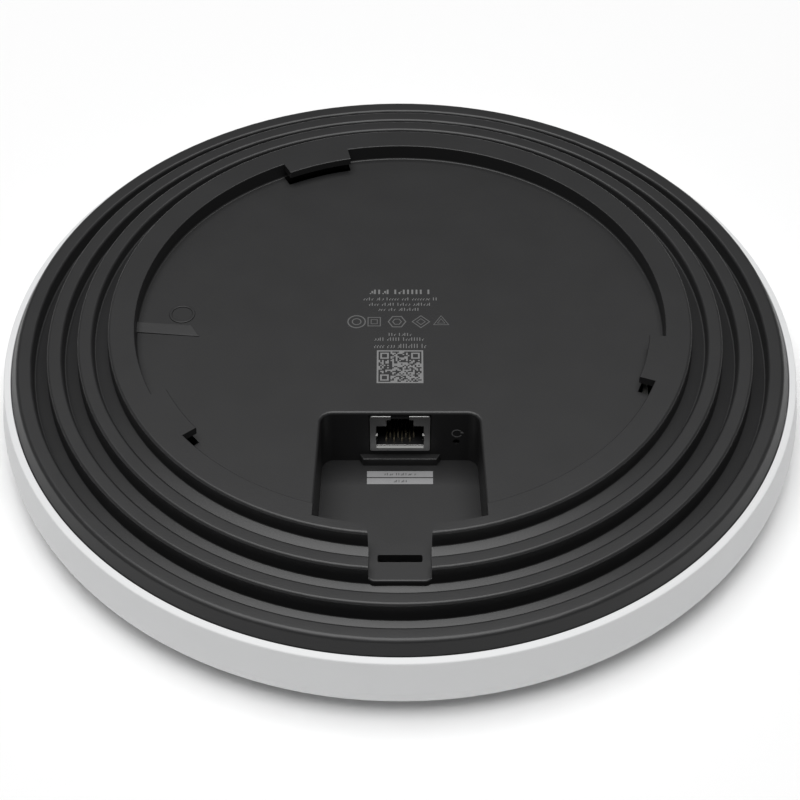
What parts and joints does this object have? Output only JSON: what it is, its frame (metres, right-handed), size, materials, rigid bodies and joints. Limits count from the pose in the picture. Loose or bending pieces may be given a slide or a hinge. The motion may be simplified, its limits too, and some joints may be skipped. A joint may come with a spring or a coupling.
{
  "type": "ceiling access point",
  "caption": "Round ceiling access point: white front cover, dark ringed metal back with a bracket recess, bayonet tabs, cable pocket with network jack, and working reset switch.",
  "frame": {"origin": "centre of the flat front face, on the side that faces the room", "axes": "+Z out of the cast back towards the ceiling, -Y towards the cable pocket's outer end, which the jack faces"},
  "size_m": [0.2148, 0.2148, 0.033],
  "materials": {
    "cover_white": "moulded, fine satin texture",
    "seal_rubber": "soft foam seal",
    "housing_paint": "fine satin powder coat",
    "board_green": "solder mask",
    "screw_steel": "zinc plated",
    "chip_black": "moulded epoxy",
    "shield_tin": "tin plated sheet",
    "pad_grey": "soft thermal gap pad",
    "jack_steel": "nickel plated sheet",
    "jack_black": "moulded",
    "contact_gold": "gold plated",
    "transformer_tape": "polyester tape over a ferrite core",
    "capacitor_sleeve": "shrink sleeve",
    "ferrite_grey": "pressed ferrite",
    "plunger_ivory": "moulded",
    "reflector_aluminium": "stamped, brushed",
    "antenna_sheet": "stamped phosphor bronze",
    "lead_black": "fluoropolymer jacket",
    "led_white": "moulded package",
    "pipe_clear": "clear moulded",
    "label_grey": "printed polyester sticker"
  },
  "bodies": {
    "housing": {"front_cover": "cover_white", "cover_gasket": "seal_rubber", "rear_housing": "housing_paint", "main_board": "board_green", "board_screws": "screw_steel", "processor": "chip_black", "memory_chips": "chip_black", "radio_chip_left": "chip_black", "radio_chip_right": "chip_black", "shield_can_main": "shield_tin", "shield_can_left": "shield_tin", "shield_can_right": "shield_tin", "thermal_pad_main": "pad_grey", "thermal_pad_left": "pad_grey", "thermal_pad_right": "pad_grey", "jack_shell": "jack_steel", "jack_insert": "jack_black", "jack_contacts": "contact_gold", "network_transformer": "chip_black", "power_transformer": "transformer_tape", "power_capacitors": "capacitor_sleeve", "power_inductors": "ferrite_grey", "reset_switch_cover": "jack_steel", "reset_switch_base": "jack_black", "reset_switch_dome": "contact_gold", "antenna_reflector": "reflector_aluminium", "reflector_screws": "screw_steel", "antenna_low_left": "antenna_sheet", "antenna_low_right": "antenna_sheet", "antenna_low_rear": "antenna_sheet", "antenna_high_left": "antenna_sheet", "antenna_high_right": "antenna_sheet", "antenna_high_rear": "antenna_sheet", "antenna_sockets": "contact_gold", "antenna_leads": "lead_black", "status_led": "led_white", "status_light_pipe": "pipe_clear", "label_strips": "label_grey"},
    "reset_button": {"reset_plunger": "plunger_ivory"}
  },
  "joints": [
    {"name": "reset_press", "type": "slide", "parent": "housing", "child": "reset_button", "axis": [0, 1, 0], "range_m": [0, 0.00025], "stiffness_N_per_m": 4000, "springref_m": -0.0001}
  ]
}
